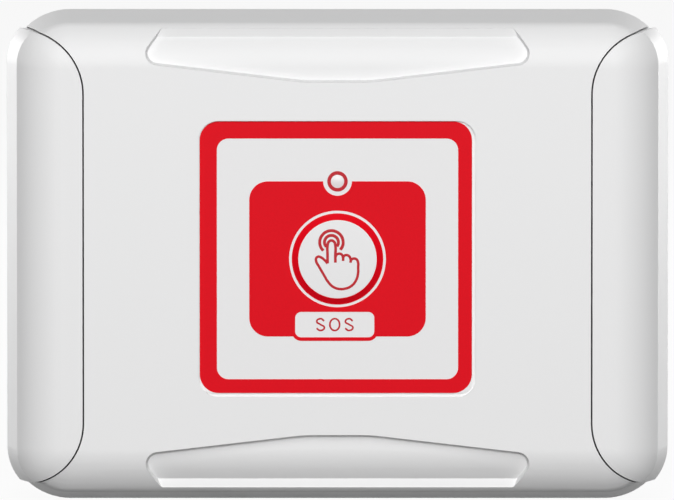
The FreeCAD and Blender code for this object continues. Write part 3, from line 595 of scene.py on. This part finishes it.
labelFilm()
keyRingPrint()
labelPrint()


# Line work on the film: a pointing hand with touch rings, and the word in the small field

strokes = {
    "handWidth": 0.50, "ringWidth": 0.58, "letterWidth": 0.34, "thickness": 0.05,
    "roundSteps": 3, "curveSteps": 8, "smoothBelow": 60,
    # The hand's drawing board: millimetres to a unit, the key's centre and the fingertip
    "boardScale": 0.02204, "boardCentre": (544.6, 813.6), "fingertip": (495, 675),
    "letterSize": 1.1, "letterStep": 2.35, "legendCentre": (-0.5, -11.9),
}


def strokePiece(name, paths, width, level, finish, body):
    # Each path is a list of across and up in millimetres, and whether it closes
    curve = bpy.data.curves.new(name, "CURVE")
    curve.dimensions = "3D"
    curve.bevel_depth = width / 2 * mm
    curve.bevel_resolution = strokes["roundSteps"]
    curve.resolution_u = strokes["curveSteps"]
    curve.use_fill_caps = True
    for points, closed in paths:
        spline = curve.splines.new("BEZIER")
        spline.bezier_points.add(len(points) - 1)
        spline.use_cyclic_u = closed
        for knot, (across, up) in zip(spline.bezier_points, points):
            knot.co = (across * mm, 0, up * mm)
            knot.handle_left_type = knot.handle_right_type = "AUTO"
    drawn = bpy.data.objects.new(name + "Line", curve)
    scene.collection.objects.link(drawn)
    bpy.context.view_layer.update()
    seen = drawn.evaluated_get(bpy.context.evaluated_depsgraph_get())
    tube = bpy.data.meshes.new_from_object(seen)
    bpy.data.objects.remove(drawn)
    bm = bmesh.new()
    bm.from_mesh(tube)
    bmesh.ops.remove_doubles(bm, verts=bm.verts, dist=near["stroke"] * mm)
    squeeze = Matrix.Translation((0, level * mm, 0)) \
        @ Matrix.Diagonal((1, 2 * strokes["thickness"] / width, 1, 1))
    bmesh.ops.transform(bm, matrix=squeeze, verts=bm.verts)
    keepPiece(name, bm, finish, body, strokes["smoothBelow"])


def fromCentre(points):
    # Points of the drawing board, turned into millimetres from the key's centre
    left, top = strokes["boardCentre"]
    scale = strokes["boardScale"]
    return [((x - left) * scale, (top - y) * scale) for x, y in points]


def touchRing(radius, start, end, count):
    # An arc round the fingertip on the drawing board, from one angle to another
    across, down = strokes["fingertip"]
    turns = [math.radians(start + (end - start) * i / (count - 1)) for i in range(count)]
    return [(across + radius * math.cos(turn), down - radius * math.sin(turn)) for turn in turns]


finger = [(463, 848), (463, 780), (463, 700), (472, 672), (495, 660), (518, 672), (527, 700),
          (527, 780), (527, 842)]
palm = [(463, 848), (440, 822), (412, 800), (388, 792), (370, 806), (371, 834), (392, 872),
        (430, 938), (468, 1000), (508, 1040), (560, 1058), (606, 1056), (660, 1032), (698, 984),
        (713, 930), (714, 880), (713, 838), (700, 814), (676, 808), (656, 818)]
firstKnuckle = [(527, 800), (538, 776), (560, 768), (580, 776), (590, 800), (590, 828)]
secondKnuckle = [(590, 800), (601, 784), (622, 780), (641, 790), (652, 814), (652, 842)]
handLines = [finger, palm, firstKnuckle, secondKnuckle]
touchRings = [touchRing(96, 226, -40, 13), touchRing(57, 222, -38, 9)]
letterS = [(0.60, 0.60), (0.04, 0.975), (-0.60, 0.52), (0.0, 0.02), (0.64, -0.50),
           (-0.02, -0.975), (-0.64, -0.60)]
letterO = [(0, 0.975), (-0.80, 0), (0, -0.975), (0.80, 0)]


def legend():
    size, step = strokes["letterSize"], strokes["letterStep"]
    left, up = strokes["legendCentre"]
    word = ((letterS, -step, False), (letterO, 0, True), (letterS, step, False))
    letters = [([((x + across) * size + left, z * size + up) for x, z in shape], closed)
               for shape, across, closed in word]
    strokePiece("legendLetters", letters, strokes["letterWidth"], label["sheetFront"], redInk,
                "housing")


strokePiece("keyPictogram", [(fromCentre(points), False) for points in handLines],
            strokes["handWidth"], label["domeTop"], redInk, "call_key")
strokePiece("touchRings", [(fromCentre(points), False) for points in touchRings],
            strokes["ringWidth"], label["domeTop"], redInk, "call_key")
legend()
print("film key drawn")


# The lamp's window: a shallow lens in the printed ring

def windowLens():
    front, radius, rise = label["sheetFront"], window["radius"], window["rise"]
    bm = bmesh.new()
    back = front + window["sunk"]
    spinRound(bm, [(0, front - rise),
                   (radius * window["shoulder"], front - rise * window["shoulderRise"]),
                   (radius, front - window["rimRise"]), (radius, back), (0, back)],
              steps=window["sides"])
    bmesh.ops.translate(bm, verts=bm.verts, vec=(0, 0, window["height"] * mm))
    s = material("windowFilm")
    haze = s.noise(window["haze"], detail=2)
    finish = s.finish(Base_Color=s.tint(window["colour"], window["mottle"], haze),
                      Roughness=window["roughness"] + window["spread"] * haze)
    keepPiece("windowLens", bm, finish, "housing")


windowLens()


# Screws with a cross recess and a cut thread

housingScrew = {"headRadius": 2.9, "headHeight": 2.2, "coreRadius": 1.12, "outerRadius": 1.45,
                "length": 11.0, "pitch": 1.15, "recess": 1.75, "recessWidth": 0.62,
                "recessDepth": 1.2}
boardScrew = {"headRadius": 2.5, "headHeight": 1.6, "coreRadius": 0.9, "outerRadius": 1.2,
              "length": 6.0, "pitch": 0.9, "recess": 1.35, "recessWidth": 0.5,
              "recessDepth": 0.9}
# Both kinds: the crown, shoulder and taper are shares, and so are the thread's crest and flank
screwForm = {"crown": 0.72, "shoulder": 0.62, "recessTaper": 0.55, "crest": 0.3, "flank": 0.6,
             "crownRounding": 0.22, "roundingSteps": 3, "threadStart": 0.3, "threadSunk": 0.05,
             "sides": 32, "stepsPerTurn": 24, "smoothBelow": 35}


def takeMesh(bm, name):
    # Empties the bmesh into a new mesh
    bmesh.ops.recalc_face_normals(bm, faces=bm.faces)
    mesh = bpy.data.meshes.new(name)
    bm.to_mesh(mesh)
    bm.clear()
    return mesh


def screwBlank(bm, values):
    # Along +Y, with the head's seat at the origin
    head, height, core = values["headRadius"], values["headHeight"], values["coreRadius"]
    crown = head * screwForm["crown"]
    spinRound(bm, [(0, -height), (crown, -height), (head, -height * screwForm["shoulder"]),
                   (head, 0), (core, 0), (core, values["length"] - values["pitch"]),
                   (0, values["length"])], steps=screwForm["sides"])
    roundRing(bm, crown, -height, screwForm["crownRounding"], screwForm["roundingSteps"])
    return takeMesh(bm, "screwBody")


def crossTool(bm, values):
    # Two crossed bars that taper into the head
    top = -values["headHeight"] * mm
    size = Matrix.Diagonal((2 * values["recess"] * mm, 2 * values["recessDepth"] * mm,
                            values["recessWidth"] * mm, 1))
    for turn in (0, math.pi / 2):
        bar = bmesh.ops.create_cube(bm, size=1)["verts"]
        spot = Matrix.Translation((0, top, 0)) @ Matrix.Rotation(turn, 4, "Y") @ size
        bmesh.ops.transform(bm, matrix=spot, verts=bar)
        for vert in bar:
            if vert.co.y > top:
                vert.co.x *= screwForm["recessTaper"]
                vert.co.z *= screwForm["recessTaper"]
    return takeMesh(bm, "screwRecess")


def cutRecess(bodyMesh, toolMesh):
    blank = bpy.data.objects.new("screwBlank", bodyMesh)
    cutter = bpy.data.objects.new("screwCutter", toolMesh)
    for thing in (blank, cutter):
        scene.collection.objects.link(thing)
    cut = blank.modifiers.new("recess", "BOOLEAN")
    cut.operation, cut.object, cut.use_self = "DIFFERENCE", cutter, True
    bpy.context.view_layer.update()
    seen = blank.evaluated_get(bpy.context.evaluated_depsgraph_get())
    shaped = bpy.data.meshes.new_from_object(seen)
    for thing in (blank, cutter):
        bpy.data.objects.remove(thing)
    return shaped


def addThread(bm, values):
    # A ridge wound round the shank and sunk a little into it
    start, pitch = screwForm["threadStart"], values["pitch"]
    core = values["coreRadius"] - screwForm["threadSunk"]
    turns = (values["length"] - pitch - start) / pitch
    steps = int(turns * screwForm["stepsPerTurn"])
    profile = profileLoop(bm, [(core, start),
                               (values["outerRadius"], start + pitch * screwForm["crest"]),
                               (core, start + pitch * screwForm["flank"])], True)
    bm.faces.new(vertsOf(profile))
    ends = bmesh.ops.spin(bm, geom=profile, cent=(0, 0, 0), axis=(0, 1, 0),
                          angle=turns * 2 * math.pi, steps=steps,
                          dvec=(0, turns * pitch * mm / steps, 0), use_merge=False)["geom_last"]
    lastEdges = [part for part in ends if isinstance(part, bmesh.types.BMEdge)]
    bmesh.ops.contextual_create(bm, geom=lastEdges)


def screwSet(name, node, values, forward):
    # Four screws at the node's corners; forward ones have their heads at the front
    low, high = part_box(node)
    bm = bmesh.new()
    body = screwBlank(bm, values)
    tool = crossTool(bm, values)
    bm.from_mesh(cutRecess(body, tool))
    addThread(bm, values)
    if not forward:
        bmesh.ops.transform(bm, matrix=Matrix.Rotation(math.pi, 4, "Z"), verts=bm.verts)
    head, height = values["headRadius"] * mm, values["headHeight"] * mm
    seat = low.y + height if forward else high.y - height
    places = [Vector((x, seat, z)) for x in (low.x + head, high.x - head)
              for z in (low.z + head, high.z - head)]
    placeCopies(bm, places)
    piece = keepPiece(name, bm, plated, "housing", screwForm["smoothBelow"])
    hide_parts(node)


screwSet("housingScrews", "housing_screws", housingScrew, True)
screwSet("boardScrews", "board_screws", boardScrew, False)
print("screws cut")


# Wire springs behind the cells, and the antenna on the board

batterySpring = {"wire": 0.6, "turns": 3.25, "steps": 28, "sides": 10, "cellGap": 0.1}
antenna = {"wire": 0.6, "turns": 6, "steps": 32, "sides": 10}


def wireCoil(bm, start, end, middle, radius, values):
    # Round wire wound along X from start to end
    wire = values["wire"] * mm / 2
    ring = bmesh.ops.create_circle(bm, cap_ends=True, segments=values["sides"],
                                   radius=wire)["verts"]
    spot = Matrix.Translation((start + wire, middle.y + radius, middle.z))
    bmesh.ops.transform(bm, matrix=spot, verts=ring)
    sides = dict.fromkeys(edge for vert in ring for edge in vert.link_edges)
    cap = dict.fromkeys(face for vert in ring for face in vert.link_faces)
    steps = int(values["turns"] * values["steps"])
    bmesh.ops.spin(bm, geom=[*sides, *ring, *cap], cent=middle, axis=(1, 0, 0),
                   angle=values["turns"] * 2 * math.pi, steps=steps, use_merge=False,
                   dvec=((end - start - 2 * wire) / steps, 0, 0))


def batterySprings():
    low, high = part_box("battery_springs")
    wire, gap = batterySpring["wire"] * mm, batterySpring["cellGap"] * mm
    bm = bmesh.new()
    for node, left in (("battery_upper", True), ("battery_lower", False)):
        cellLow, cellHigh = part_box(node)
        middle = (cellLow + cellHigh) / 2
        radius = middle.y - low.y - wire / 2
        start, end = (low.x, cellLow.x - gap) if left else (cellHigh.x + gap, high.x)
        wireCoil(bm, start, end, middle, radius, batterySpring)
    piece = keepPiece("batterySprings", bm, tinned, "housing", smoothBelow=60)
    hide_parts("battery_springs")


def antennaCoil():
    low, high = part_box("antenna_coil")
    bm = bmesh.new()
    radius = (high.z - low.z) / 2 - antenna["wire"] * mm / 2
    wireCoil(bm, low.x, high.x, (low + high) / 2, radius, antenna)
    piece = keepPiece("antennaCoil", bm, copperWire, "housing", smoothBelow=60)
    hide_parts("antenna_coil")


batterySprings()
antennaCoil()
print("coils wound")


# Studio: a pale floor, a white surround, soft light from the front and a rim from each side

studio = {"floorLevel": cadBox[0].z, "floorSize": 8.0, "floorColour": 0.90, "floorMottle": 0.004,
          "paperGrain": 1.5, "floorLift": 0.93, "bounceKept": 0.1, "surround": 0.05}
eyeRays = ("Is Camera Ray", "Is Glossy Ray", "Is Transmission Ray")


def seenBy(s, *rays):
    # 1 where a ray is of one of these kinds
    total = s.node("ShaderNodeLightPath", output=rays[0])
    for ray in rays[1:]:
        total = s.maths("MAXIMUM", total, s.node("ShaderNodeLightPath", output=ray))
    return total


def studioFloor():
    bm = bmesh.new()
    bmesh.ops.create_grid(bm, x_segments=1, y_segments=1, size=studio["floorSize"] / 2)
    mesh = bpy.data.meshes.new("studioFloor")
    bm.to_mesh(mesh)
    bm.free()
    floor = bpy.data.objects.new("studioFloor", mesh)
    floor.location.z = studio["floorLevel"]
    scene.collection.objects.link(floor)
    s = material("studioPaper")
    grain = s.noise(studio["paperGrain"], detail=2)
    shade = s.tint((studio["floorColour"],) * 3, studio["floorMottle"], grain)
    paper = s.node("ShaderNodeBsdfDiffuse", None, {"Color": shade})
    black = s.node("ShaderNodeBsdfDiffuse", None, {"Color": (0, 0, 0, 1)})
    white = s.node("ShaderNodeEmission", None, {"Color": (1, 1, 1, 1), "Strength": 1.0})
    # The floor is white to the eye and throws little light back under the object
    damped = seenBy(s, "Is Diffuse Ray") * (1 - studio["bounceKept"])
    matt = s.node("ShaderNodeMixShader", None, {0: damped, 1: paper, 2: black})
    lift = seenBy(s, *eyeRays) * studio["floorLift"]
    mixed = s.node("ShaderNodeMixShader", None, {0: lift, 1: matt, 2: white})
    s.node("ShaderNodeOutputMaterial", None, {"Surface": mixed})
    mesh.materials.append(s.owner)


def surround():
    world = bpy.data.worlds.new("studioWorld")
    scene.world = world
    s = Shader(world)
    grey = s.node("ShaderNodeBackground", None,
                  {"Color": (1, 1, 1, 1), "Strength": studio["surround"]})
    white = s.node("ShaderNodeBackground", None, {"Color": (1, 1, 1, 1), "Strength": 1.0})
    mixed = s.node("ShaderNodeMixShader", None, {0: seenBy(s, *eyeRays), 1: grey, 2: white})
    s.node("ShaderNodeOutputWorld", None, {"Surface": mixed})


def softbox(name, azimuth, elevation, distance, side, power):
    # Azimuth 0 is the front, positive to the right as the front is seen
    a, e = math.radians(azimuth), math.radians(elevation)
    towards = Vector((math.sin(a) * math.cos(e), -math.cos(a) * math.cos(e), math.sin(e)))
    lamp = bpy.data.lights.new(name, "AREA")
    lamp.shape, lamp.size, lamp.size_y, lamp.energy = "RECTANGLE", side, side, power
    box = bpy.data.objects.new(name, lamp)
    facing = towards.to_track_quat("Z", "Y").to_matrix().to_4x4()
    box.matrix_world = Matrix.Translation(towards * distance) @ facing
    box.visible_camera = False
    scene.collection.objects.link(box)


lamps = {
    "keyLight": {"azimuth": 0, "elevation": 14, "distance": 1.3, "side": 0.7, "power": 11.1},
    "topLight": {"azimuth": 0, "elevation": 38, "distance": 1.3, "side": 0.7, "power": 5.9},
    "leftRim": {"azimuth": -135, "elevation": 8, "distance": 0.9, "side": 0.4, "power": 5.0},
    "rightRim": {"azimuth": 135, "elevation": 8, "distance": 0.9, "side": 0.4, "power": 5.0},
}
studioFloor()
surround()
for name, values in lamps.items():
    softbox(name, **values)

# The photograph's view: nearly square on, a little from above, through a long lens
lens = {"focal": 800.0, "sensor": 36.0, "elevation": 4.0, "frameWidth": 122.4,
        "target": (-0.09, -16.2, 0.68), "nearest": 0.05, "farthest": 40}
camera = bpy.data.objects.new("photoCamera", bpy.data.cameras.new("photoCamera"))
camera.data.lens, camera.data.sensor_width = lens["focal"], lens["sensor"]
camera.data.clip_start, camera.data.clip_end = lens["nearest"], lens["farthest"]
tilt = math.radians(lens["elevation"])
away = Vector((0, -math.cos(tilt), math.sin(tilt)))
distance = lens["frameWidth"] * mm * lens["focal"] / lens["sensor"]
camera.location = Vector(lens["target"]) * mm + away * distance
camera.rotation_mode = "QUATERNION"
camera.rotation_quaternion = away.to_track_quat("Z", "Y")
scene.collection.objects.link(camera)
scene.camera = camera
scene.view_settings.view_transform = "Standard"
print("studio set")
